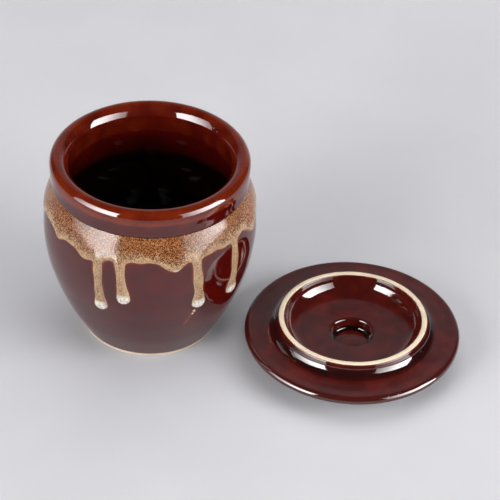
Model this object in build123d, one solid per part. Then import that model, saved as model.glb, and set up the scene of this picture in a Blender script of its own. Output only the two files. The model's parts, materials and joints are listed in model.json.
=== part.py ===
"""Ceramic fermentation crock with its lid lying upside down beside it.

Frame: millimetres, +Z up, origin on the floor at the centre of the crock's foot.
-Y is the front of the crock, and +X points to its right, where the lid lies.
"""
from build123d import *
import os
from math import cos, radians, sin

# Crock, finished sizes with its glaze on (mm)
CROCK_HEIGHT = 133.5          # floor to the crest of the rim
RIM_RADIUS = 65.0             # widest part of the rolled rim
RIM_ROUND = 5.0               # outer half of the rim's round
ROLL_MIDDLE = (55.3, 131.0)   # (radius, height) halfway down the rim's softer inner half
ROLL_END_SLOPE = (-0.36, -0.93)
MOUTH_RADIUS = 53.2
MOUTH_WALL_TOP = 127.3        # ridge where the roll meets the straight wall
MOUTH_WALL_HEIGHT = 10.0      # straight wall of the mouth under the ridge
RIM_BAND_HEIGHT = 19.0        # crest down to the groove under the rim
RIM_BAND_TAPER = 0.4          # the band's foot is this much narrower than its top
RIM_BAND_UNDERCUT = 1.6       # height of the slope from the groove out to the band
NECK_RADIUS = 63.4            # bottom of the groove between rim and shoulder
BELLY_RADIUS = 70.0           # widest part of the pot
BELLY_HEIGHT = 80.0
FLANK = [(55.9, 23.0), (63.9, 44.0), (69.0, 66.0)]   # (radius, height) up the flank
SHOULDER = (67.2, 103.0)      # (radius, height) over the belly
FOOT_RADIUS = 43.5            # flat bare base that stands on the floor
FOOT_BARE_HEIGHT = 3.0        # unglazed clay above the floor
FOOT_TOP_RADIUS = 45.6        # outside of the clay where the glaze starts
FLOOR_THICKNESS = 7.0
INNER_BELLY = (63.4, 80.0)    # widest point of the inside
INNER_HEEL = (48.0, 16.0)     # where the inside turns in towards the floor
INNER_HEEL_SLOPE = (-1.0, -1.6)
FLOOR_RADIUS = 44.0
FLOOR_FILLET = 6.0

# Glazes (mm)
GLAZE = 0.5                   # brown coat on crock and lid
WALL_GLAZE = 1.5              # the coat runs to this many times its thickness at the mouth wall's foot
DRIP_GLAZE = 0.9              # tan coat over the shoulder, on top of the brown one
DRIP_TOP = 113.0              # upper edge of the tan coat, under the rim
DRIP_EDGE = 97.5              # lower edge of the tan coat between its runs
RUN_STEM_WIDTH = 6.0
RUN_BULB_RADIUS = 4.6
RUN_NECK = 8.0                # from the band's edge down to where a run is stem-wide
# (angle round the pot in degrees from +X, height of the tip) of each long run
LONG_RUNS = [(-114.0, 53.3), (-101.5, 63.5), (-60.0, 55.8), (-36.0, 54.5),
             (14.0, 62.0), (49.0, 57.0), (78.0, 68.0), (112.0, 55.0), (151.0, 61.0)]
SHORT_LOBES = [(-144.0, 92.6), (-124.0, 92.5), (-73.0, 91.5)]
LOBE_WIDTH = 10.0
LOBE_RADIUS = 6.0

# Lid (mm), drawn knob up with its locating ring's end at height 0
LID_HEIGHT = 28.0
LID_RADIUS = 71.8
BRIM_THICKNESS = 6.0
RING_DEPTH = 9.1              # end of the locating ring up to the brim's seat
RING_RADIUS = 49.8            # outside, with 3.4 mm of room in the mouth
RING_WIDTH = 4.4              # bare clay end of the ring
RING_BARE_HEIGHT = 0.6
RING_FILLET = 8.0             # between the ring's outside and the brim
DISH_EDGE_DEPTH = 11.9        # ring's end up to the underside of the panel at its edge
DISH_TAPER = 1.5              # the ring's inside narrows by this much on the way up
DISH_ROUND = 12.0             # bowl-like curve from the ring's inside to the panel
DISH_DEPTH = 13.3             # ring's end up to the underside of the panel at the hollow
PANEL_TOP = 20.0              # outside of the domed panel
KNOB_RADIUS = 19.0
KNOB_ROUND = 3.0
HOLLOW_RADIUS = 14.4          # hollow inside the knob, open below
HOLLOW_DEPTH = 7.2
HOLLOW_TAPER = 5.5            # the hollow narrows by this much on the way up
HOLLOW_ROUND = 3.0
KNOB_UNDERCUT = 1.5           # waist of the knob inside its widest radius
KNOB_WAIST_ROUND = 2.0

# Where the lid lies
LID_CENTRE = (136.8, -28.4)

# Fermentation weights (mm)
WEIGHT_RADIUS = 42.0
WEIGHT_THICKNESS = 12.0
WEIGHT_GAP = 1.5              # between the two straight edges
WEIGHT_ROUND = 2.5
FINGER_HOLE_RADIUS = 7.0
FINGER_HOLE_OFFSET = 20.0     # from the middle of the pair

FAR = 200.0                   # reaches past everything in the model


def rectangle_between(low, high):
    """Filled rectangle in the XZ half plane between two (radius, height) corners."""
    corners = [(low[0], low[1]), (high[0], low[1]), (high[0], high[1]), (low[0], high[1])]
    return make_face(Polyline(*corners, close=True))


def spun(section):
    """Turn a flat (radius, height) section around the vertical axis."""
    return revolve(Plane.XZ * section, Axis.Z)


def body_line(inset):
    """Flank, belly and shoulder, from the top of the bare foot to the groove."""
    points = [(FOOT_TOP_RADIUS, FOOT_BARE_HEIGHT), *FLANK, (BELLY_RADIUS, BELLY_HEIGHT), SHOULDER,
              (NECK_RADIUS, CROCK_HEIGHT - RIM_BAND_HEIGHT)]
    return Spline(*[(radius - inset, height) for radius, height in points])


def rim_line(start, inset):
    """Rolled rim from the groove, up the band and over the top, down the mouth's wall."""
    round_centre = (RIM_RADIUS - RIM_ROUND, CROCK_HEIGHT - RIM_ROUND)
    band_foot = (RIM_RADIUS - RIM_BAND_TAPER - inset, start.Y + RIM_BAND_UNDERCUT)
    band_top = (RIM_RADIUS - inset, round_centre[1])
    crest = (round_centre[0], CROCK_HEIGHT - inset)
    wall_top = (MOUTH_RADIUS + inset, MOUTH_WALL_TOP)
    wall_foot = (MOUTH_RADIUS + WALL_GLAZE * inset, MOUTH_WALL_TOP - MOUTH_WALL_HEIGHT)
    roll_middle = (ROLL_MIDDLE[0] + inset / 2, ROLL_MIDDLE[1] - inset)
    band = Polyline(start, band_foot, band_top)
    outer_round = CenterArc(round_centre, RIM_ROUND - inset, 0, 90)
    roll = Spline(crest, roll_middle, wall_top, tangents=((-1, 0), ROLL_END_SLOPE))
    return band, outer_round, roll, Line(wall_top, wall_foot)


def inside_line(start, inset):
    """Inside from the mouth's wall to the middle of the floor."""
    belly = (INNER_BELLY[0] + inset, INNER_BELLY[1])
    heel = (INNER_HEEL[0] + inset, INNER_HEEL[1])
    floor_height = FLOOR_THICKNESS - inset
    wall = Spline(start, belly, heel, tangents=((0, -1), INNER_HEEL_SLOPE))
    floor = Polyline(heel, (FLOOR_RADIUS, floor_height), (0, floor_height))
    return wall, floor


def crock_section(inset, under):
    """Half section inside the pot's surface, moved in by inset, closed by the line under."""
    body = body_line(inset)
    rim = rim_line(body @ 1, inset)
    inside = inside_line(rim[-1] @ 1, inset)
    face = make_face([body, *rim, *inside, Polyline(inside[-1] @ 1, *under, body @ 0)])
    corner = Vector(FLOOR_RADIUS, FLOOR_THICKNESS - inset)
    return fillet(face.vertices().sort_by_distance(corner)[0], FLOOR_FILLET)


def make_crock():
    """Clay body of the crock, bare at its foot, and the brown glaze on the rest."""
    clay = crock_section(GLAZE, [(0, 0), (FOOT_RADIUS, 0)])
    coat = crock_section(0, [(0, FOOT_BARE_HEIGHT)]) - clay
    return spun(clay), spun(coat)


def shoulder_shell():
    """Closed skin over the flank and shoulder, as thick as the tan glaze."""
    inner = body_line(0)
    outer = body_line(-DRIP_GLAZE)
    skin = make_face([inner, outer, Line(inner @ 0, outer @ 0), Line(inner @ 1, outer @ 1)])
    return spun(skin & rectangle_between((0, FOOT_BARE_HEIGHT), (FAR, DRIP_TOP)))


def run_cutter(angle, tip_height, width, bulb_radius):
    """Radial bar with the outline of one glaze run: flared root, stem and round bulb."""
    root = DRIP_EDGE + GLAZE
    bulb_height = tip_height + bulb_radius
    neck = max(root - RUN_NECK, bulb_height)
    flare = 1.6 * width
    half_outline = [(flare, root), (width / 2, neck), (width / 2, bulb_height)]
    if neck == bulb_height:
        half_outline.pop()
    other_half = [(-across, height) for across, height in reversed(half_outline)]
    stem = make_face(Polyline(*half_outline, *other_half, close=True))
    outline = stem + Pos(0, bulb_height) * Circle(bulb_radius)
    outward = (cos(radians(angle)), sin(radians(angle)), 0)
    sideways = (-sin(radians(angle)), cos(radians(angle)), 0)
    facing = Plane(origin=(0, 0, 0), x_dir=sideways, z_dir=outward)
    return extrude(facing * outline, amount=FAR)


def make_drip_glaze():
    """Tan glaze poured over the shoulder, with its long runs and two short lobes."""
    band = Pos(0, 0, (DRIP_EDGE + FAR) / 2) * Cylinder(FAR, FAR - DRIP_EDGE)
    curtain = band
    for angle, tip_height in LONG_RUNS:
        curtain += run_cutter(angle, tip_height, RUN_STEM_WIDTH, RUN_BULB_RADIUS)
    for angle, tip_height in SHORT_LOBES:
        curtain += run_cutter(angle, tip_height, LOBE_WIDTH, LOBE_RADIUS)
    return shoulder_shell() & curtain


def lid_top_line():
    """Outside of the lid from the knob's middle, down the dome, to the brim's edge."""
    brim_top = RING_DEPTH + BRIM_THICKNESS
    waist = KNOB_RADIUS - KNOB_UNDERCUT
    knob = Polyline((0, LID_HEIGHT), (KNOB_RADIUS, LID_HEIGHT), (waist, PANEL_TOP))
    panel = ThreePointArc(knob @ 1, (40.0, PANEL_TOP - 2.0), (59.0, brim_top))
    brim = Line(panel @ 1, (LID_RADIUS - BRIM_THICKNESS / 2, brim_top))
    edge = ThreePointArc(brim @ 1, (LID_RADIUS, RING_DEPTH + BRIM_THICKNESS / 2),
                         (LID_RADIUS - BRIM_THICKNESS / 2, RING_DEPTH))
    return knob, panel, brim, edge


def lid_under_line(start):
    """Underside from the brim's edge, round the locating ring, to the knob's hollow."""
    ring_inside = RING_RADIUS - RING_WIDTH
    seat = Line(start, (RING_RADIUS + 0.4, RING_DEPTH))
    ring = Polyline(seat @ 1, (RING_RADIUS, 0), (ring_inside, 0),
                    (ring_inside - DISH_TAPER, DISH_EDGE_DEPTH))
    panel = Line(ring @ 1, (HOLLOW_RADIUS, DISH_DEPTH))
    hollow_top = DISH_DEPTH + HOLLOW_DEPTH
    hollow = Polyline(panel @ 1, (HOLLOW_RADIUS - HOLLOW_TAPER, hollow_top), (0, hollow_top))
    return seat, ring, panel, hollow


def lid_section():
    """Half section of the finished lid, knob up."""
    top = lid_top_line()
    under = lid_under_line(top[-1] @ 1)
    axis = Line(under[-1] @ 1, (0, LID_HEIGHT))
    face = make_face([*top, *under, axis])
    hollow_top = DISH_DEPTH + HOLLOW_DEPTH
    ring_inside = RING_RADIUS - RING_WIDTH
    rounds = [
        ((KNOB_RADIUS, LID_HEIGHT), KNOB_ROUND),
        ((KNOB_RADIUS - KNOB_UNDERCUT, PANEL_TOP), KNOB_WAIST_ROUND),
        ((RING_RADIUS + 0.4, RING_DEPTH), RING_FILLET),
        ((ring_inside - DISH_TAPER, DISH_EDGE_DEPTH), DISH_ROUND),
        ((HOLLOW_RADIUS, DISH_DEPTH), HOLLOW_ROUND),
        ((HOLLOW_RADIUS - HOLLOW_TAPER, hollow_top), HOLLOW_ROUND),
    ]
    for corner, radius in rounds:
        face = fillet(face.vertices().sort_by_distance(Vector(*corner))[0], radius)
    return face


def make_lid():
    """Lid's clay, bare at its ring's end, and its two glaze coats, lying knob down."""
    section = lid_section()
    across = section + mirror(section, Plane.YZ)
    glazed = rectangle_between((0, RING_BARE_HEIGHT), (FAR, FAR))
    coat = (section - offset(across, -GLAZE)) & glazed
    clay = section - coat
    dish_coat, outer_coat = coat.faces().sort_by(Axis.X)
    lying = Pos(LID_CENTRE[0], LID_CENTRE[1], LID_HEIGHT) * Rot(180, 0, 0)
    return [lying * spun(section) for section in (clay, outer_coat, dish_coat)]


def make_weight(side):
    """Half-moon weight on the crock's floor; side is -1 for left and +1 for right."""
    disc = Cylinder(WEIGHT_RADIUS, WEIGHT_THICKNESS)
    other_half = Pos(-side * (FAR - WEIGHT_GAP) / 2, 0, 0) * Box(FAR, FAR, FAR)
    weight = disc - other_half
    weight -= Pos(side * FINGER_HOLE_OFFSET, 0, 0) * Cylinder(FINGER_HOLE_RADIUS, FAR)
    weight = fillet(weight.edges(), WEIGHT_ROUND)
    return Pos(0, 0, FLOOR_THICKNESS + WEIGHT_THICKNESS / 2) * weight


def write(name, shape):
    """Save one named piece."""
    shape.label = name
    export_step(shape, f"parts/{name}.step")


os.makedirs("parts", exist_ok=True)
crock_body, crock_glaze = make_crock()
lid_body, lid_glaze, lid_dish_glaze = make_lid()
write("crock_body", crock_body)
write("crock_glaze", crock_glaze)
write("shoulder_drip_glaze", make_drip_glaze())
write("lid_body", lid_body)
write("lid_glaze", lid_glaze)
write("lid_dish_glaze", lid_dish_glaze)
write("weight_left", make_weight(-1))
write("weight_right", make_weight(1))
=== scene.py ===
"""Looks of the ceramic fermentation crock, its lid and its weights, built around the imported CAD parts.

Shapes are worked out in millimetres, as on a potter's drawing, and their meshes are written in metres. The
studio and the camera are in metres throughout.
"""
import json
import math

import bpy
import numpy as np
from mathutils import Matrix, Vector


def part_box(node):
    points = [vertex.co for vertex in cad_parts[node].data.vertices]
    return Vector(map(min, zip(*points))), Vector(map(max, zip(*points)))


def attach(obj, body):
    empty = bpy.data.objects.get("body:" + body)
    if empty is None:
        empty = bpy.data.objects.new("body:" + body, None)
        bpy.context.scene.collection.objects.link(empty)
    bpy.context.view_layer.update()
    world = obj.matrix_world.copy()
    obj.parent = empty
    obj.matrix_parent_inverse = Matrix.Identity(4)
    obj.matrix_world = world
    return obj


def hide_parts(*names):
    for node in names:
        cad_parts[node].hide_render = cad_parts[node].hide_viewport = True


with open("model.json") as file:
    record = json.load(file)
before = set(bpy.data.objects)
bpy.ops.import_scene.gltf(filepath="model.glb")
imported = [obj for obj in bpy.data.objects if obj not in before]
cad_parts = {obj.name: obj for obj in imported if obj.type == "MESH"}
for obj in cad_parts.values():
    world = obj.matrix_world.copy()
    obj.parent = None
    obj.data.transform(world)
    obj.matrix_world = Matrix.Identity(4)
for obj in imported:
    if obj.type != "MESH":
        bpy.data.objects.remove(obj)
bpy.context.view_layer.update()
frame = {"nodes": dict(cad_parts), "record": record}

MM = 0.001
FULL_TURN = 2 * math.pi
SEGMENTS = 256                 # meridians round each thrown piece
LINE_STEP = 1.0                # longest gap between the points of an outline (mm)
ARC_STEP = math.radians(6)     # turn between the points of a fillet
BACK_SPARE = 4                 # the hidden back of a coat keeps one outline point in this many

# Places that come from the frame (mm)
GLAZE_LOW, GLAZE_HIGH = (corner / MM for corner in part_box("crock_glaze"))
LID_LOW, LID_HIGH = (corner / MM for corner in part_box("lid_body"))
LID_COAT_LOW, LID_COAT_HIGH = (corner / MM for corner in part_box("lid_glaze"))
MOUTH = next(mount for mount in frame["record"]["mounts"] if mount["name"] == "mouth")
CREST = GLAZE_HIGH.z
BELLY_RADIUS = (GLAZE_HIGH.x - GLAZE_LOW.x) / 2
GLAZE_FOOT = GLAZE_LOW.z       # the brown glaze ends at this height above the floor
MOUTH_RADIUS = MOUTH["dims"]["r_mm"]
WALL_TOP = MOUTH["pos_m"][2] / MM + MOUTH["dims"]["length_mm"] / 2
LID_RADIUS = (LID_COAT_HIGH.x - LID_COAT_LOW.x) / 2
LID_HEIGHT = LID_HIGH.z
LID_AXIS = ((LID_LOW.x + LID_HIGH.x) / 2, (LID_LOW.y + LID_HIGH.y) / 2)

# Crock (mm). A LINE is smooth through (radius, height) points. CORNERS are (radius, height, fillet).
GLAZE = 0.5                    # thickness of the brown glaze
GLAZE_FOOT_RADIUS = 45.6
GLAZE_FOOT_WIDTH = 0.45        # the glaze ends in a flat edge of this width
FOOT_RADIUS = 44.4             # the bare clay under the glaze
FOOT_HOLLOW = 0.35             # the foot touches the floor only in a ring round this shallow hollow
NECK = (63.4, CREST - 19.0)    # bottom of the groove under the rim
BODY_LINE = [(GLAZE_FOOT_RADIUS, GLAZE_FOOT), (55.9, 23.0), (63.9, 44.0), (69.0, 66.0), (BELLY_RADIUS, 80.0),
             (67.2, 103.0), NECK]
RIM_RADIUS = 65.0
RIM_ROUND = 5.0
RIM_CORNERS = [(*NECK, 0.8), (64.6, CREST - 17.4, 1.2), (RIM_RADIUS - 0.35, CREST - 12.6, 2.0),
               (RIM_RADIUS, CREST - 9.0, 2.0), (RIM_RADIUS, CREST, RIM_ROUND - 0.02)]
ROLL_LINE = [(RIM_RADIUS - RIM_ROUND, CREST), (55.3, CREST - 2.5), (MOUTH_RADIUS, WALL_TOP)]
ROLL_ENDS = ((-1.0, 0.0), (-0.36, -0.93))      # directions in which the inner roll starts and ends
THROAT = (MOUTH_RADIUS, WALL_TOP - 10.0)       # lower end of the straight wall
INSIDE_LINE = [THROAT, (63.4, 80.0), (48.0, 16.0)]
INSIDE_ENDS = ((0.0, -1.0), (-1.0, -1.6))
FLOOR_CORNERS = [(44.0, 7.0, 6.0), (0, 7.0, 0)]
FOOT_CORNERS = [(0, FOOT_HOLLOW, 0), (FOOT_RADIUS - 9.0, 0.3, 2.0), (FOOT_RADIUS - 7.5, 0, 0.6),
                (FOOT_RADIUS, 0, 0.6), (GLAZE_FOOT_RADIUS - 0.1, GLAZE_FOOT, 0)]
RELIEF_START = 20.0            # within this radius of an axis, the out-of-round fades to nothing
FINE_RINGS = (0.035, 2.9)      # throwing rings: how far they stand out, and their height for one radian
BROAD_RINGS = (0.030, 5.3)

# Where the crock's brown glaze runs thin and reddens, or pools and blackens, and where painted light and
# painted shade fall inside the pot (mm, degrees, shares)
BULGE_FULL = 0.55              # an edge that stands this far out of its surroundings is fully thin
HALO_REACH = 2.5               # it is redder within about this distance under the poured glaze
HALO_STRENGTH = 0.75
BAND_RED = 0.75                # in the middle of the rim's band
BAND_MIDDLE = CREST - 7.5
BAND_REACH = 2.6
INSIDE_SHADE_EDGE = 108.0            # inside the pot, painted light reddens the glaze above this height and painted shade blackens it below
# painted light on the upper inside wall: its strength and the distance over which it comes in
INSIDE_PAINTED_LIGHT = 0.55
INSIDE_PAINTED_LIGHT_REACH = 8.0
# painted shade on the lower inside: its strength and the distance over which it deepens
INSIDE_PAINTED_SHADE = 0.75
INSIDE_PAINTED_SHADE_REACH = 24.0
STREAK_ANGLE, STREAK_HEIGHT = -64.8, 42.5      # a thin reddish streak under the beads
STREAK_WIDTH, STREAK_LENGTH = 2.2, 7.0
STREAK_LEAN = 0.30
STREAK_STRENGTH = 0.90

# Poured glaze (mm, degrees)
POUR_TOP = 114.4               # upper edge, in the groove under the rim
POUR_EDGE = 97.0               # mean lower edge between the runs
POUR_THIN, POUR_THICK = 0.45, 1.15             # thickness at its upper edge and where it has run down
POUR_TOP_REACH = 3.0           # it gets up to its thickness over this distance under its upper edge
POUR_EDGE_REACH = 0.6          # and over this distance inside its other edges
POUR_SKIRT = 0.9               # the skin goes on this far past its edge, under the brown glaze
POUR_SKIRT_DEPTH = 0.35
POUR_BACK = 0.4                # depth of the skin's hidden back
POUR_CELL = 0.5
STEM_DOME, DROP_DOME = 0.6, 1.1                # how far a run's stem and its drop stand out
STEM_FADE = 6.0                # a stem grows out of the pour within this distance of POUR_EDGE
STEM_JOIN, DROP_JOIN = 3.5, 1.5                # reach of the smooth joins between the shapes
DROP_STRETCH = 0.47            # the upper half of a drop is stretched by one over this
PALE_START, PALE_LENGTH = 2.7, 1.6             # bulb radii above its tip where a drop pales, and over how many
PALE_EDGE = 1.5                # and it pales over this distance inside its edge
LOBE_PALE = 0.55               # the lobes' tips are this far towards the cream of the drops
LOBE_PALE_START, LOBE_PALE_LENGTH = 3.5, 3.0
# angle at the root, angle at the tip, height of the tip, half width of the stem, radius of the bulb
RUNS = [
    (-115.7, -114.3, 53.3, 3.0, 4.6), (-103.1, -100.9, 63.5, 3.1, 4.5), (-61.2, -59.5, 55.8, 3.2, 4.6),
    (-35.0, -36.4, 54.5, 2.7, 4.3), (14.0, 15.0, 62.0, 3.0, 4.5), (49.0, 48.0, 57.0, 3.2, 4.6),
    (78.0, 78.5, 68.0, 2.8, 4.3), (112.0, 113.0, 55.0, 3.1, 4.6), (151.0, 150.0, 61.0, 3.0, 4.5),
]
# angle, height and radius of the small beads that ran on past the third drop
BEADS = [(-61.3, 52.6, 1.1), (-61.9, 50.0, 0.9)]
# angle, height of the tip, width of each short lobe of the lower edge
LOBES = [
    (-144.0, 92.6, 4.4), (-123.0, 91.0, 7.5), (-73.0, 91.6, 6.5), (-15.0, 90.5, 7.0),
    (32.0, 93.5, 6.0), (95.0, 92.5, 5.0), (131.0, 94.0, 7.0), (170.0, 92.5, 5.5),
]

# Lid, drawn knob up with its ring's end at height 0 (mm)
RING_DEPTH = 9.1
RING_RADIUS = 49.8
RING_INSIDE = 45.4
RING_BARE = 0.6                # the ring's clay shows below this height
RING_OVAL = 1.0                # the ring's radius is this much smaller at its front and back
RING_OVAL_REACH = 8.0          # outside the ring, the brim is round again within this distance
BRIM_TOP = 15.1
BRIM_ROUND = 2.95
PANEL_TOP = 20.0
KNOB_RADIUS = 19.0
DISH_TOP = 13.3
HOLLOW_RADIUS = 14.4           # the knob's hollow, in the middle of the dish
HOLLOW_TOP = 20.5
LID_CORNERS = [                # the outer coat, from the knob's middle to the end of the ring
    (0, LID_HEIGHT, 0), (KNOB_RADIUS, LID_HEIGHT, 3.0), (KNOB_RADIUS - 1.5, PANEL_TOP, 2.0),
    (40.0, PANEL_TOP - 2.0, 30.0), (59.0, BRIM_TOP, 12.0), (LID_RADIUS, BRIM_TOP, BRIM_ROUND),
    (LID_RADIUS, RING_DEPTH, BRIM_ROUND), (64.0, RING_DEPTH + 0.25, 20.0), (58.0, RING_DEPTH - 0.1, 6.0),
    (RING_RADIUS + 0.5, RING_DEPTH - 1.0, 7.0), (RING_RADIUS, RING_BARE, 0),
]
DISH_CORNERS = [               # the dish's coat, from the end of the ring to the middle of the hollow
    (RING_INSIDE - 0.05, RING_BARE, 0), (RING_INSIDE - 1.5, DISH_TOP - 1.4, 12.0),
    (HOLLOW_RADIUS, DISH_TOP, 2.0), (HOLLOW_RADIUS - 1.6, HOLLOW_TOP, 2.0), (0, HOLLOW_TOP - 0.2, 0),
]
RING_END_CORNERS = [           # the bare clay between the two coats
    (RING_RADIUS - GLAZE, RING_BARE, 0), (RING_RADIUS - 0.1, 0, 0.7), (RING_INSIDE + 0.1, 0, 0.7),
    (RING_INSIDE + GLAZE, RING_BARE, 0),
]

# Glazes and clay: linear colours, and the sizes that noise() and bump() take in mm
THIN_SPAN = (0.35, 1.0)        # the thin layer's values from body colour to thin colour; on the crock's upper inside they also carry painted light
PUDDLE_AND_SHADE_SPAN = (-0.60, -0.25)   # and from nearly black, where the glaze pools and where painted shade lies on the crock's lower inside, back to body colour
# nearly black colour of pooled glaze, also used for the painted shade on the crock's lower inside
PUDDLE_AND_SHADE_COLOUR = (0.0035, 0.0010, 0.0010)
TAN_COLOURS = ((0.188, 0.072, 0.024), (0.228, 0.098, 0.038))
PALE_TAN_COLOUR = (0.275, 0.180, 0.104)
SPECK_COLOUR = (0.034, 0.0090, 0.0030)
CREAM_COLOUR = (0.40, 0.375, 0.335)
CREAM_SPECK_COLOUR = (0.09, 0.075, 0.05)
POUR_RIM_COLOUR = (0.28, 0.21, 0.14)
PAPER_COLOURS = ((0.320, 0.317, 0.333), (0.332, 0.329, 0.345))

# Studio (m, W, degrees)
FLOOR_HALF = 1.7
TABLE_EDGES = (("Y", "LESS_THAN", -0.42), ("X", "LESS_THAN", -1.05), ("X", "GREATER_THAN", 1.30))
BOX_AZIMUTHS = (-147.0, -29.0)                 # the two soft boxes
BOX_DISTANCE = 2.2
BOX_HALF_WIDTH = 1.05
BOX_LOW, BOX_HIGH = -0.60, 1.90                # they reach down past the table's front edge
BOX_GLOW = 14.5
BOX_BRIGHT, BOX_DIM = 1.15, 0.25               # shares of the glow at a box's two sides
FILL_POWER = 70.0
FILL_SIZE = 3.2
FILL_PLACE = Vector((0.3, 0.8, 2.3))
ROOM_COLOUR = (0.022, 0.022, 0.024)
BACKDROP_COLOUR = (0.62, 0.62, 0.66)
BACKDROP_SPREAD = (0.70, 0.92)                 # cosine of the angle off straight behind, dark to full
BACKDROP_DIMS = (0.05, 0.58)                   # sine of the angle above level, from full to BACKDROP_HIGH
BACKDROP_HIGH = 0.42
BACKDROP_ENDS = (0.60, 0.85)                   # sine of the angle above level, over which it ends
CAMERA_ELEVATION = 38.30
CAMERA_DISTANCE = 1.550
CAMERA_LENS = 157.4
CAMERA_ROLL = 2.31
CAMERA_TARGET = Vector((0.06659, 0.07398, 0.0))


# ---------------------------------------------------------------- outlines

def cubic_line(points, ends=(None, None)):
    """Smooth line through (radius, height) points, sampled every LINE_STEP, with optional end directions."""
    points = np.array(points, float)
    chord = np.hypot(*np.diff(points, axis=0).T)
    at = np.r_[0.0, np.cumsum(chord)]
    count = len(points)
    system = np.zeros((count, count))
    wanted = np.zeros((count, 2))
    for i in range(1, count - 1):
        left, right = chord[i - 1], chord[i]
        system[i, i - 1:i + 2] = right, 2 * (left + right), left
        before, after = points[i] - points[i - 1], points[i + 1] - points[i]
        wanted[i] = 3 * (right * before / left + left * after / right)
    for row, near, gap, slope in ((0, 1, chord[0], ends[0]), (-1, -2, chord[-1], ends[1])):
        system[row, row] = 1.0 if slope else 2.0
        system[row, near] = 0.0 if slope else 1.0
        rise = (points[near] - points[row]) * (1 if row == 0 else -1) / gap
        wanted[row] = np.array(slope) / np.hypot(*slope) if slope else 3 * rise
    slopes = np.linalg.solve(system, wanted)
    place = np.linspace(0, at[-1], int(at[-1] / LINE_STEP) + 2)
    piece = np.clip(np.searchsorted(at, place, side="right") - 1, 0, count - 2)
    gap = chord[piece][:, None]
    t = (place - at[piece])[:, None] / gap
    start, end = points[piece], points[piece + 1]
    return ((2 * t**3 - 3 * t**2 + 1) * start + (t**3 - 2 * t**2 + t) * gap * slopes[piece]
            + (3 * t**2 - 2 * t**3) * end + (t**3 - t**2) * gap * slopes[piece + 1])


def rounded_line(corners):
    """Line through (radius, height, fillet) corners, with each corner rounded by its fillet radius."""
    points = [np.array(corners[0][:2], float)]
    for before, corner, after in zip(corners, corners[1:], corners[2:]):
        here = np.array(corner[:2], float)
        into = np.array(before[:2]) - here
        out = np.array(after[:2]) - here
        into, out = into / np.hypot(*into), out / np.hypot(*out)
        half = math.acos(np.clip(into @ out, -1, 1)) / 2
        fillet = corner[2]
        if fillet == 0 or half > math.pi / 2 - 0.01:
            points.append(here)
            continue
        bisector = (into + out) / np.hypot(*(into + out))
        centre = here + bisector * fillet / math.sin(half)
        first = here + into * fillet / math.tan(half) - centre
        last = here + out * fillet / math.tan(half) - centre
        sweep = math.pi - 2 * half
        for share in np.linspace(0, 1, int(sweep / ARC_STEP) + 2):
            points.append(centre + (math.sin((1 - share) * sweep) * first + math.sin(share * sweep) * last)
                          / math.sin(sweep))
    points.append(np.array(corners[-1][:2], float))
    return spaced(np.array(points))


def spaced(points):
    """The same line with extra points, so that no gap is longer than LINE_STEP."""
    filled = [points[:1]]
    for start, end in zip(points, points[1:]):
        count = max(1, math.ceil(np.hypot(*(end - start)) / LINE_STEP))
        shares = np.arange(1, count + 1)[:, None] / count
        filled.append(start + (end - start) * shares)
    return np.concatenate(filled)


def joined(*lines):
    """One line from several that meet end to end."""
    return np.concatenate([lines[0]] + [line[1:] for line in lines[1:]])


def outward(line):
    """Unit normals of a line, on the side that is on its right when it is followed."""
    step = np.gradient(line, axis=0)
    step /= np.maximum(np.hypot(*step.T), 1e-9)[:, None]
    return np.column_stack([step[:, 1], -step[:, 0]])


def on_axis(line):
    """Which points of a line lie on the axis."""
    return line[:, 0] < 1e-6


def moved_in(line, depth):
    """The line moved by depth into the clay, kept off the far side of the axis."""
    inner = line - outward(line) * depth
    inner[:, 0] = np.maximum(inner[:, 0], 0)
    inner[on_axis(line), 0] = 0
    return inner


def convexity(line, reach=2.0):
    """How much a line bulges outwards, -1 to 1. A runny glaze ends up thin where it bulges."""
    along = np.r_[0, np.cumsum(np.hypot(*np.diff(line, axis=0).T))]
    weights = np.exp(-0.5 * ((along[:, None] - along[None, :]) / reach) ** 2)
    weights *= np.gradient(along)[None, :]
    mean = weights @ line / weights.sum(axis=1)[:, None]
    bulge = ((line - mean) * outward(line)).sum(axis=1)
    bulge[(along < reach) | (along > along[-1] - reach)] = 0
    return np.clip(bulge / BULGE_FULL, -1, 1)


# ---------------------------------------------------------------- meshes

def mesh_piece(name, points, faces, body, node, material, layers=()):
    """Shown piece from points in mm and faces, that rides on a body and stands for a CAD node."""
    mesh = bpy.data.meshes.new(name)
    mesh.from_pydata((np.asarray(points) * MM).tolist(), [], [list(face) for face in faces])
    for layer, values in layers:
        mesh.attributes.new(layer, "FLOAT", "POINT").data.foreach_set("value", np.asarray(values, np.float32))
    mesh.polygons.foreach_set("use_smooth", np.ones(len(mesh.polygons), bool))
    mesh.materials.append(material)
    mesh.validate()
    mesh.update()
    piece = bpy.data.objects.new(name, mesh)
    bpy.context.scene.collection.objects.link(piece)
    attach(piece, body)
    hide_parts(node)
    return piece


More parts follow.
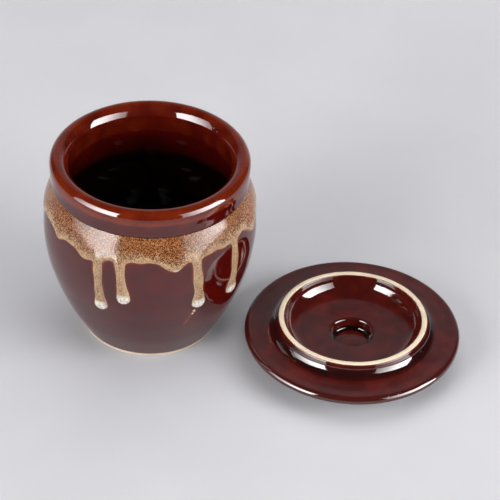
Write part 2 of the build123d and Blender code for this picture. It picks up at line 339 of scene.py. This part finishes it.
def thrown(outline, relief, axis=(0.0, 0.0)):
    """Points and faces of a closed skin: an outline turned round a vertical axis.

    The outline runs from axis to axis, or is a closed ring. relief(angle, radius, height) moves a point out.
    The points come row by row, and the two on the axis, if any, come last.
    """
    has_poles = bool(on_axis(outline[:1])[0])
    rows = outline[1:-1] if has_poles else outline
    turn, radius = np.meshgrid(np.arange(SEGMENTS) * FULL_TURN / SEGMENTS, rows[:, 0])
    height = np.repeat(rows[:, 1][:, None], SEGMENTS, axis=1)
    radius = radius + relief(turn, radius, height)
    points = np.stack([axis[0] + radius * np.cos(turn), axis[1] + radius * np.sin(turn), height], axis=-1)
    points = points.reshape(-1, 3)
    count = len(rows)
    row = np.arange(count - 1 if has_poles else count)[:, None] * SEGMENTS
    next_row = (row + SEGMENTS) % (count * SEGMENTS)
    column = np.arange(SEGMENTS)[None, :]
    next_column = (column + 1) % SEGMENTS
    quads = np.stack([row + column, row + next_column, next_row + next_column, next_row + column], axis=-1)
    faces = quads.reshape(-1, 4).tolist()
    if has_poles:
        first, last = len(points), len(points) + 1
        end = (count - 1) * SEGMENTS
        faces += [[first, (c + 1) % SEGMENTS, c] for c in range(SEGMENTS)]
        faces += [[last, end + c, end + (c + 1) % SEGMENTS] for c in range(SEGMENTS)]
        points = np.concatenate([points, [[*axis, outline[0, 1]], [*axis, outline[-1, 1]]]])
    return points, faces


def coat(line, relief, axis=(0.0, 0.0)):
    """Points, faces and thin values of a skin of brown glaze, from its front round its ends to its back."""
    back = moved_in(line, GLAZE)
    sparse = np.concatenate([back[:-1:BACK_SPARE], back[-1:]])[::-1]
    ring = np.concatenate([line, sparse])
    thin_and_painted_light = np.concatenate([convexity(line), np.zeros(len(sparse))])
    if on_axis(line)[-1]:
        ring = np.roll(ring, -len(line), axis=0)
        thin_and_painted_light = np.roll(thin_and_painted_light, -len(line))
    points, faces = thrown(ring, relief, axis)
    if on_axis(ring)[0]:
        return points, faces, np.r_[np.repeat(thin_and_painted_light[1:-1], SEGMENTS), thin_and_painted_light[0], thin_and_painted_light[-1]]
    return points, faces, np.repeat(thin_and_painted_light, SEGMENTS)


def waves(seed, *terms):
    """Smooth variation round a piece: a sum of (cycles, amplitude) cosines with seeded phases."""
    phases = np.random.default_rng(seed).uniform(0, FULL_TURN, len(terms))

    def value(angle):
        return sum(size * np.cos(cycles * angle + phase) for (cycles, size), phase in zip(terms, phases))
    return value


def turn_from(angle, degrees):
    """Signed turn to an angle from a direction in degrees, up to half a turn each way."""
    return (angle - math.radians(degrees) + math.pi) % FULL_TURN - math.pi


# ---------------------------------------------------------------- crock

crock_round = waves(11, (2, 0.10), (3, 0.07), (5, 0.03))


def crock_relief(angle, radius, height):
    """Out-of-round and soft throwing rings of the crock."""
    rings = (FINE_RINGS[0] * np.sin(height / FINE_RINGS[1] + 0.8 * np.cos(angle + 1.0))
             + BROAD_RINGS[0] * np.sin(height / BROAD_RINGS[1] + angle))
    return np.clip(radius / RELIEF_START, 0, 1) * (crock_round(angle) + rings)


def crock_line():
    """Crock's outside and inside surface, from the glaze's edge over the rim to the middle of the floor."""
    body = cubic_line(BODY_LINE)
    rim = rounded_line([(*body[-2], 0), *RIM_CORNERS, (*ROLL_LINE[0], 0)])
    roll = cubic_line(ROLL_LINE, ROLL_ENDS)
    wall = rounded_line([(*roll[-2], 0), (*roll[-1], 1.0), (*THROAT, 0)])
    inside = cubic_line(INSIDE_LINE, INSIDE_ENDS)
    floor = rounded_line([(*inside[-1], 0), *FLOOR_CORNERS])
    edge = np.array([(GLAZE_FOOT_RADIUS - GLAZE_FOOT_WIDTH, GLAZE_FOOT)])
    return joined(edge, np.concatenate([edge, body[:-1]]), rim, roll[:-1], wall, inside, floor)


def crock_thinness_and_painted_light(points, thin_and_painted_light):
    """How thin the crock's glaze is: its edges' values, reddened on the rim's band, under the poured glaze and
    in a streak, with painted light that reddens the upper inside and painted shade that blackens the lower
    inside.
    """
    angle = np.arctan2(points[:, 1], points[:, 0])
    radius = np.hypot(points[:, 0], points[:, 1])
    height = points[:, 2]
    body = np.array(BODY_LINE)
    outside = radius > np.interp(height, body[:, 1], body[:, 0]) - 2 * GLAZE
    # painted light: the upper inside of the pot, near the mouth, is reddened
    painted_inside_light = INSIDE_PAINTED_LIGHT * np.clip((height - INSIDE_SHADE_EDGE) / INSIDE_PAINTED_LIGHT_REACH, 0, 1) * (radius < MOUTH_RADIUS + 8)
    # painted shade: the lower inside of the pot is blackened
    painted_inside_shade = INSIDE_PAINTED_SHADE * np.clip((INSIDE_SHADE_EDGE - height) / INSIDE_PAINTED_SHADE_REACH, 0, 1)
    thin_and_painted_light = np.where(outside, thin_and_painted_light, np.maximum(thin_and_painted_light, painted_inside_light) - painted_inside_shade)
    band = BAND_RED * np.exp(-((height - BAND_MIDDLE) / BAND_REACH) ** 2) * (radius > RIM_RADIUS - 1.2)
    inside_pour = pour_fields(angle, height, radius)[0]
    halo = HALO_STRENGTH * np.exp(np.clip(inside_pour, -30, 0) / HALO_REACH) * (height < POUR_EDGE + 2)
    across = turn_from(angle, STREAK_ANGLE) * radius + (STREAK_HEIGHT - height) * STREAK_LEAN
    streak = np.exp(-(across / STREAK_WIDTH) ** 2 - ((height - STREAK_HEIGHT) / STREAK_LENGTH) ** 2)
    return thin_and_painted_light + band + (halo + STREAK_STRENGTH * streak) * outside


def make_crock(glaze, clay):
    """Brown coat and the clay that shows at the foot."""
    line = crock_line()
    points, faces, thin_and_painted_light = coat(line, crock_relief)
    mesh_piece("crock_glaze_skin", points, faces, "crock", "crock_glaze", glaze,
               [("thin_and_painted_light", crock_thinness_and_painted_light(points, thin_and_painted_light))])
    under = moved_in(line, GLAZE)
    ring = np.concatenate([rounded_line(FOOT_CORNERS), under[::2], under[-1:]])
    points, faces = thrown(ring, crock_relief)
    mesh_piece("crock_clay", points, faces, "crock", "crock_body", clay)


# ---------------------------------------------------------------- poured glaze

edge_waves = waves(5, (7, 0.5), (11, 0.6), (19, 0.45), (31, 0.3), (53, 0.15))
top_waves = waves(6, (3, 0.25), (8, 0.2), (23, 0.15))


def blend_max(a, b, reach):
    """The larger of two fields, with a smooth join where they are within reach of each other."""
    share = np.clip(reach - np.abs(a - b), 0, None) / reach
    return np.maximum(a, b) + share**2 * reach / 4


def domed(inside, reach):
    """0 at an edge to 1 at reach inside it, along a quarter circle."""
    return np.sqrt(np.clip(1 - (1 - np.clip(inside, 0, reach) / reach) ** 2, 0, 1))


def run_inside(across, height, tip, root_shift, half_width, bulb):
    """How far inside a run's stem and inside its egg-shaped drop each place is, in mm."""
    drop = tip + bulb
    up = np.clip((height - drop) / (POUR_EDGE - drop), 0, 1)
    narrow = half_width * (1 + 0.10 * np.cos(height / 3.1 + tip))
    stem = narrow - np.abs(across - root_shift * up)
    stem = np.where(height < drop, narrow - np.hypot(across, height - drop), stem)
    stem = np.where(height > POUR_EDGE + STEM_FADE, -9.0, stem)
    egg = bulb - np.hypot(across, (height - drop) * np.where(height > drop, DROP_STRETCH, 1.0))
    return stem, egg


def pour_fields(angle, height, radius):
    """How far inside the poured glaze each place is (mm), its domed extra height (mm) and its drop share."""
    lower = POUR_EDGE + edge_waves(angle)
    drop_share = np.zeros_like(lower)
    for lobe_angle, tip, width in LOBES:
        reach = np.exp(-(turn_from(angle, lobe_angle) * radius / width) ** 2)
        lower = lower - (POUR_EDGE - tip) * reach
        near_tip = np.clip((tip + LOBE_PALE_START - height) / LOBE_PALE_LENGTH, 0, 1)
        drop_share = np.maximum(drop_share, LOBE_PALE * reach * near_tip)
    inside = height - lower
    dome = np.zeros_like(inside)
    stem_dome = STEM_DOME * np.clip((POUR_EDGE + STEM_FADE - height) / (2 * STEM_FADE), 0, 1)
    for root_angle, tip_angle, tip, half_width, bulb in RUNS:
        across = turn_from(angle, tip_angle) * radius
        shift = math.radians(root_angle - tip_angle) * radius
        stem, egg = run_inside(across, height, tip, shift, half_width, bulb)
        inside = blend_max(inside, stem, STEM_JOIN)
        inside = blend_max(inside, egg, DROP_JOIN)
        dome = np.maximum(dome, stem_dome * domed(stem, half_width))
        dome = np.maximum(dome, DROP_DOME * domed(egg, bulb))
        near_tip = np.clip((tip + PALE_START * bulb - height) / (PALE_LENGTH * bulb), 0, 1)
        drop_share = np.maximum(drop_share, np.clip(egg / PALE_EDGE + 0.4, 0, 1) * near_tip)
    for bead_angle, bead_height, bead in BEADS:
        spot = bead - np.hypot(turn_from(angle, bead_angle) * radius, height - bead_height)
        inside = np.maximum(inside, spot)
        drop_share = np.maximum(drop_share, np.clip(spot, 0, 0.6))
    return inside, dome, drop_share


def pour_rise(height, inside, under_top, dome):
    """How far the poured glaze stands out of the brown one, or dips under it past its own edge, in mm."""
    depth = np.minimum(inside, under_top)
    down = np.clip((POUR_TOP - height) / (POUR_TOP - POUR_EDGE), 0, 1)
    thickness = POUR_THIN + (POUR_THICK - POUR_THIN) * down
    thickness = thickness * (1 - np.exp(-np.clip(under_top, 0.2, None) / POUR_TOP_REACH))
    rise = np.where(depth > 0, 1 - np.exp(-depth / POUR_EDGE_REACH), depth / POUR_EDGE_REACH) * thickness
    return np.clip(rise, -POUR_SKIRT_DEPTH, None) + dome * np.clip(depth, 0, 1)


def grid_faces(covered):
    """Corner numbers of the quads of a closed band of cells whose four corners are all covered."""
    columns = covered.shape[1]
    quad = covered[:-1] & covered[1:]
    rows, cols = np.nonzero(quad & np.roll(quad, -1, axis=1))
    wrap = (cols + 1) % columns
    return np.stack([rows * columns + cols, rows * columns + wrap, (rows + 1) * columns + wrap,
                     (rows + 1) * columns + cols], axis=-1)


def open_edges(corners):
    """Edges that only one of the quads has, in the direction in which that quad has them."""
    edges = np.concatenate([corners[:, [k, (k + 1) % 4]] for k in range(4)])
    edges = dict.fromkeys(map(tuple, edges.tolist()))
    return [(start, end) for start, end in edges if (end, start) not in edges]


def make_pour(material):
    """Tan glaze over the shoulder: a skin on a fine grid, kept where the glaze covers the pot."""
    body = cubic_line(BODY_LINE)
    body = body[np.argsort(body[:, 1])]
    heights = np.arange(min(bead[1] for bead in BEADS) - 2, POUR_TOP + 1.6, POUR_CELL)
    columns = int(FULL_TURN * BELLY_RADIUS / POUR_CELL)
    angle, height = np.meshgrid(np.arange(columns) * FULL_TURN / columns, heights)
    radius = np.interp(height, body[:, 1], body[:, 0])
    inside, dome, drop_share = pour_fields(angle, height, radius)
    under_top = POUR_TOP + top_waves(angle) - height
    corners = grid_faces(np.minimum(inside, under_top) > -POUR_SKIRT)
    used = np.unique(corners)
    number = np.full(angle.size, -1)
    number[used] = np.arange(len(used))
    angle, height, radius, inside, under_top, dome, drop_share = (
        field.ravel()[used] for field in (angle, height, radius, inside, under_top, dome, drop_share))
    surface = radius + crock_relief(angle, radius, height)
    skins = [np.column_stack([reach * np.cos(angle), reach * np.sin(angle), height])
             for reach in (surface + pour_rise(height, inside, under_top, dome), surface - POUR_BACK)]
    front = number[corners]
    back = front[:, ::-1] + len(used)
    sides = number[np.array(open_edges(corners))]
    sides = np.column_stack([sides[:, ::-1], sides + len(used)])
    faces = front.tolist() + back.tolist() + sides.tolist()
    layers = [("inside", np.tile(inside, 2)), ("drop", np.tile(drop_share, 2))]
    mesh_piece("drip_glaze_skin", np.concatenate(skins), faces, "crock", "shoulder_drip_glaze",
               material, layers)


# ---------------------------------------------------------------- lid

lid_round = waves(21, (2, 0.12), (3, 0.06), (4, 0.04))


def lid_relief(angle, radius, height):
    """Out-of-round of the lid, whose ring and dish are a little narrower from front to back."""
    inside_brim = np.clip((RING_RADIUS + RING_OVAL_REACH - radius) / RING_OVAL_REACH, 0, 1)
    oval = RING_OVAL * np.sin(angle) ** 2 * inside_brim
    return np.clip(radius / RELIEF_START, 0, 1) * (lid_round(angle) - oval)


def lying(corners):
    """The line round a lid's corners, which are drawn knob up, turned over as the lid lies."""
    line = rounded_line(corners)
    return np.column_stack([line[:, 0], LID_HEIGHT - line[:, 1]])


def make_lid(glaze, clay):
    """Lid's outer coat, dish coat, and the clay that shows at the end of its ring."""
    outer, dish = lying(LID_CORNERS), lying(DISH_CORNERS)
    for name, node, line in (("lid_glaze_skin", "lid_glaze", outer),
                             ("lid_dish_glaze_skin", "lid_dish_glaze", dish)):
        points, faces, thin_and_painted_light = coat(line, lid_relief, LID_AXIS)
        mesh_piece(name, points, faces, "lid", node, glaze, [("thin_and_painted_light", thin_and_painted_light)])
    under_outer, under_dish = moved_in(outer, GLAZE), moved_in(dish, GLAZE)
    ring = np.concatenate([under_outer[::2], lying(RING_END_CORNERS), under_dish[1::2], under_dish[-1:]])
    points, faces = thrown(ring, lid_relief, LID_AXIS)
    mesh_piece("lid_clay", points, faces, "lid", "lid_body", clay)


# ---------------------------------------------------------------- materials

class Nodes:
    """A node tree, with one short method for each kind of node the materials use."""

    def __init__(self, tree):
        self.tree = tree
        self.where = self.node("ShaderNodeTexCoord").outputs["Object"]

    def plug(self, socket, value):
        """Feed a socket from another node's output, a number or a colour."""
        if isinstance(value, bpy.types.NodeSocket):
            self.tree.links.new(value, socket)
        elif socket.type == "RGBA":
            socket.default_value = (*value, 1.0)
        else:
            socket.default_value = value

    def node(self, kind, inputs=(), **settings):
        """New node of a kind, with its settings made and its inputs fed."""
        made = self.tree.nodes.new(kind)
        for key, value in settings.items():
            setattr(made, key, value)
        for key, value in dict(inputs).items():
            self.plug(made.inputs[key], value)
        return made

    def noise(self, size, detail=2.0, rough=0.5):
        """Cloudy value, 0 to 1, whose blots are about size mm across."""
        return self.node("ShaderNodeTexNoise", {
            "Vector": self.where, "Scale": 1 / (size * MM), "Detail": detail, "Roughness": rough,
        }).outputs["Fac"]

    def cells(self, size):
        """Distance from scattered points about size mm apart, as a share of that size."""
        return self.node("ShaderNodeTexVoronoi", {
            "Vector": self.where, "Scale": 1 / (size * MM),
        }).outputs["Distance"]

    def layer(self, name):
        """A value stored on the mesh."""
        return self.node("ShaderNodeAttribute", attribute_name=name).outputs["Fac"]

    def span(self, value, low, high, to_low=0.0, to_high=1.0):
        """value between low and high becomes to_low to to_high, smoothly, and stays there outside them."""
        return self.node("ShaderNodeMapRange", {
            "Value": value, "From Min": low, "From Max": high, "To Min": to_low, "To Max": to_high,
        }, interpolation_type="SMOOTHSTEP").outputs["Result"]

    def calc(self, kind, a, b=0.0):
        """Arithmetic on two values, or on one."""
        return self.node("ShaderNodeMath", {0: a, 1: b}, operation=kind).outputs[0]

    def mix(self, share, a, b):
        """Colour a where share is 0, colour b where it is 1."""
        made = self.node("ShaderNodeMix", {"Factor": share}, data_type="RGBA")
        for socket, colour in zip([s for s in made.inputs if s.type == "RGBA"], (a, b)):
            self.plug(socket, colour)
        return next(s for s in made.outputs if s.type == "RGBA")

    def bump(self, height, depth, before=None):
        """Normals for a height of 0 to 1 that is depth mm tall, on top of the normals before it."""
        inputs = {"Height": height, "Distance": depth * MM}
        if before is not None:
            inputs["Normal"] = before
        return self.node("ShaderNodeBump", inputs).outputs["Normal"]

    def show(self, shader):
        """Make a shader the surface of the material."""
        self.tree.links.new(shader, self.tree.nodes["Material Output"].inputs["Surface"])


class Shader(Nodes):
    """A material with one Principled surface."""

    def __init__(self, name):
        self.material = bpy.data.materials.new(name)
        self.material.use_nodes = True
        super().__init__(self.material.node_tree)

    def finish(self, colour, rough, normal, ior=1.5):
        """Feed the surface, and give the finished material."""
        surface = self.tree.nodes["Principled BSDF"]
        for key, value in (("Base Color", colour), ("Roughness", rough), ("Normal", normal), ("IOR", ior)):
            self.plug(surface.inputs[key], value)
        return self.material


def brown_glaze(name, thin_colour, body_colour, pooled_colour, wave, ior):
    """Glossy iron glaze: its own colour where it is thin over an edge, nearly black where it pools. On the
    crock the same layer also carries painted light that reddens the upper inside and painted shade that
    blackens the lower inside.

    wave is the height in mm of its broadest ripples.
    """
    s = Shader(name)
    thin_and_painted_light = s.layer("thin_and_painted_light")
    base = s.mix(s.span(s.noise(14.0, 3.0, 0.6), 0.35, 0.7), pooled_colour, body_colour)
    varied = s.calc("ADD", thin_and_painted_light, s.span(s.noise(12.0), 0.3, 0.7, -0.08, 0.08))
    colour = s.mix(s.span(varied, *THIN_SPAN), base, thin_colour)
    # the nearly black puddle colour covers both pooled glaze and the painted shade on the crock's lower inside
    colour = s.mix(s.span(thin_and_painted_light, *PUDDLE_AND_SHADE_SPAN, 1.0, 0.0), colour, PUDDLE_AND_SHADE_COLOUR)
    pits = s.span(s.cells(6.0), 0.05, 0.09)
    ripples = s.bump(s.noise(5.0, 1.0), 0.05, s.bump(s.noise(22.0, 1.0), wave))
    rough = s.span(s.noise(9.0, 3.0), 0.3, 0.7, 0.035, 0.09)
    return s.finish(colour, rough, s.bump(pits, 0.05, ripples), ior)


def drip_glaze():
    """Tan poured glaze: dense dark specks, fewer and paler towards its lower edge, cream in its drops."""
    s = Shader("drip_glaze")
    inside = s.layer("inside")
    drop = s.layer("drop")
    depth = s.calc("ADD", inside, s.span(s.noise(7.0), 0.3, 0.7, -1.6, 1.6))
    rich = s.mix(s.span(s.noise(12.0, 3.0), 0.35, 0.65), *TAN_COLOURS)
    colour = s.mix(s.span(depth, 2.0, 10.0), PALE_TAN_COLOUR, rich)
    specks = s.span(s.noise(0.88, 3.0, 0.8), 0.44, 0.53)
    dense = s.span(depth, 0.4, 6.5, 0.46, 0.97)
    colour = s.mix(s.calc("MULTIPLY", specks, dense), colour, SPECK_COLOUR)
    colour = s.mix(s.span(drop, 0.25, 0.8), colour, CREAM_COLOUR)
    few = s.span(s.noise(1.6, 3.0, 0.7), 0.53, 0.60, 0.0, 0.7)
    colour = s.mix(s.calc("MULTIPLY", few, drop), colour, CREAM_SPECK_COLOUR)
    colour = s.mix(s.span(inside, 0.0, 0.6, 0.75, 0.0), colour, POUR_RIM_COLOUR)
    rough = s.span(s.noise(3.0), 0.3, 0.7, 0.10, 0.18)
    normal = s.bump(s.noise(1.6), 0.05, s.bump(s.noise(7.0, 1.0), 0.10))
    return s.finish(colour, rough, normal, ior=1.40)


def bare_clay(name, light, dark):
    """Unglazed stoneware: fine and matt, with small dark grains."""
    s = Shader(name)
    cloud = s.noise(9.0, 4.0)
    colour = s.mix(s.span(cloud, 0.3, 0.7), dark, light)
    grains = s.span(s.noise(0.9, 3.0, 0.7), 0.56, 0.66, 0.0, 0.35)
    colour = s.mix(grains, colour, tuple(0.45 * channel for channel in dark))
    normal = s.bump(s.noise(0.7, 4.0, 0.6), 0.10, s.bump(s.noise(4.0), 0.08))
    return s.finish(colour, s.span(cloud, 0.3, 0.7, 0.62, 0.78), normal)


def table_top():
    """Matt pale paper that the pot stands on. In reflections it ends at the table's edges."""
    s = Shader("table_top")
    colour = s.mix(s.span(s.noise(90.0, 3.0), 0.3, 0.7), *PAPER_COLOURS)
    paper = s.finish(colour, 1.0, s.bump(s.noise(1.5, 3.0), 0.02), 1.02)
    place = s.node("ShaderNodeSeparateXYZ", {0: s.where}).outputs
    past_edge = 0.0
    for axis, test, edge in TABLE_EDGES:
        past_edge = s.calc("MAXIMUM", past_edge, s.calc(test, place[axis], edge))
    mirrored = s.node("ShaderNodeLightPath").outputs["Is Glossy Ray"]
    clear = s.node("ShaderNodeBsdfTransparent").outputs[0]
    share = s.calc("MULTIPLY", past_edge, mirrored)
    seen = s.tree.nodes["Principled BSDF"].outputs[0]
    s.show(s.node("ShaderNodeMixShader", {0: share, 1: seen, 2: clear}).outputs[0])
    return paper


def light_panel():
    """Soft box front, brighter towards its left-hand side as the object sees it."""
    material = bpy.data.materials.new("light_panel")
    material.use_nodes = True
    n = Nodes(material.node_tree)
    across = n.node("ShaderNodeSeparateXYZ", {0: n.where}).outputs["X"]
    glow = n.span(across, -0.6 * BOX_HALF_WIDTH, BOX_HALF_WIDTH, BOX_GLOW * BOX_BRIGHT, BOX_GLOW * BOX_DIM)
    n.show(n.node("ShaderNodeEmission", {"Strength": glow}).outputs[0])
    return material


# ---------------------------------------------------------------- studio

def linked(name, data):
    """New object in the scene."""
    made = bpy.data.objects.new(name, data)
    bpy.context.scene.collection.objects.link(made)
    return made


def turn_towards(thing, axis, direction, place):
    """Put a thing in its place, with one of its axes along a direction."""
    thing.location = place
    thing.rotation_mode = "QUATERNION"
    thing.rotation_quaternion = direction.to_track_quat(axis, "Y")


def stage_plane(name, half_width, half_height, material):
    """Flat rectangle facing +Z, that isn't part of the object."""
    mesh = bpy.data.meshes.new(name)
    corners = [(-half_width, -half_height, 0), (half_width, -half_height, 0), (half_width, half_height, 0),
               (-half_width, half_height, 0)]
    mesh.from_pydata(corners, [], [(0, 1, 2, 3)])
    mesh.materials.append(material)
    plane = linked(name, mesh)
    return plane


def make_studio():
    """Floor, two soft boxes and the view transform."""
    stage_plane("floor", FLOOR_HALF, FLOOR_HALF, table_top())
    glow = light_panel()
    for number, azimuth in enumerate(BOX_AZIMUTHS):
        panel = stage_plane(f"soft_box_{number}", BOX_HALF_WIDTH, (BOX_HIGH - BOX_LOW) / 2, glow)
        turn = math.radians(azimuth)
        outwards = Vector((math.cos(turn), math.sin(turn), 0))
        place = outwards * BOX_DISTANCE + Vector((0, 0, (BOX_LOW + BOX_HIGH) / 2))
        turn_towards(panel, "Z", -outwards, place)
        panel.visible_camera = False
    bpy.context.scene.view_settings.view_transform = "Standard"


def make_surroundings():
    """A pale backdrop that fades into a dark room, and is plain and pale to the camera itself."""
    world = bpy.data.worlds.new("studio")
    bpy.context.scene.world = world
    world.use_nodes = True
    n = Nodes(world.node_tree)
    facing = n.node("ShaderNodeTexCoord").outputs["Generated"]
    towards = n.node("ShaderNodeSeparateXYZ", {0: facing}).outputs
    low = n.span(towards["Z"], *BACKDROP_DIMS, 1.0, BACKDROP_HIGH)
    high = n.span(towards["Z"], *BACKDROP_ENDS, 1.0, 0.0)
    level = n.calc("SQRT", n.calc("SUBTRACT", 1.0, n.calc("MULTIPLY", towards["Z"], towards["Z"])))
    behind = n.span(n.calc("DIVIDE", towards["Y"], level), *BACKDROP_SPREAD)
    backdrop = n.calc("MULTIPLY", n.calc("MULTIPLY", low, high), behind)
    seen = n.calc("MAXIMUM", backdrop, n.node("ShaderNodeLightPath").outputs["Is Camera Ray"])
    n.plug(n.tree.nodes["Background"].inputs["Color"], n.mix(seen, ROOM_COLOUR, BACKDROP_COLOUR))


def make_fill():
    """Broad light from above and behind that evens out the floor. The glazes don't mirror it."""
    data = bpy.data.lights.new("fill", "AREA")
    data.shape = "DISK"
    data.size = FILL_SIZE
    data.energy = FILL_POWER
    fill = linked("fill", data)
    turn_towards(fill, "-Z", -FILL_PLACE, FILL_PLACE)
    fill.visible_glossy = False
    fill.visible_camera = False


def make_camera():
    """Camera at the viewing angle of the product shot, with its slight roll."""
    data = bpy.data.cameras.new("camera")
    data.lens = CAMERA_LENS
    camera = linked("camera", data)
    lift = math.radians(CAMERA_ELEVATION)
    back = Vector((0, -math.cos(lift), math.sin(lift)))
    place = Matrix.Translation(CAMERA_TARGET + back * CAMERA_DISTANCE)
    facing = (-back).to_track_quat("-Z", "Y").to_matrix().to_4x4()
    camera.matrix_world = place @ facing @ Matrix.Rotation(math.radians(CAMERA_ROLL), 4, "Z")
    bpy.context.scene.camera = camera


# ---------------------------------------------------------------- the scene

crock_brown = brown_glaze(
    "crock_brown_glaze", thin_colour=(0.095, 0.0105, 0.0013), body_colour=(0.040, 0.0013, 0.0008),
    pooled_colour=(0.027, 0.0011, 0.0009), wave=0.15, ior=1.62)
lid_brown = brown_glaze(
    "lid_brown_glaze", thin_colour=(0.026, 0.0035, 0.0026), body_colour=(0.048, 0.0040, 0.0026),
    pooled_colour=(0.026, 0.0022, 0.0015), wave=0.45, ior=1.70)
stoneware = bare_clay("stoneware", light=(0.43, 0.35, 0.26), dark=(0.37, 0.30, 0.22))
make_crock(crock_brown, stoneware)
make_pour(drip_glaze())
make_lid(lid_brown, stoneware)
for node in ("weight_left", "weight_right"):
    frame["nodes"][node].material_slots[0].material = crock_brown
make_studio()
make_surroundings()
make_fill()
make_camera()
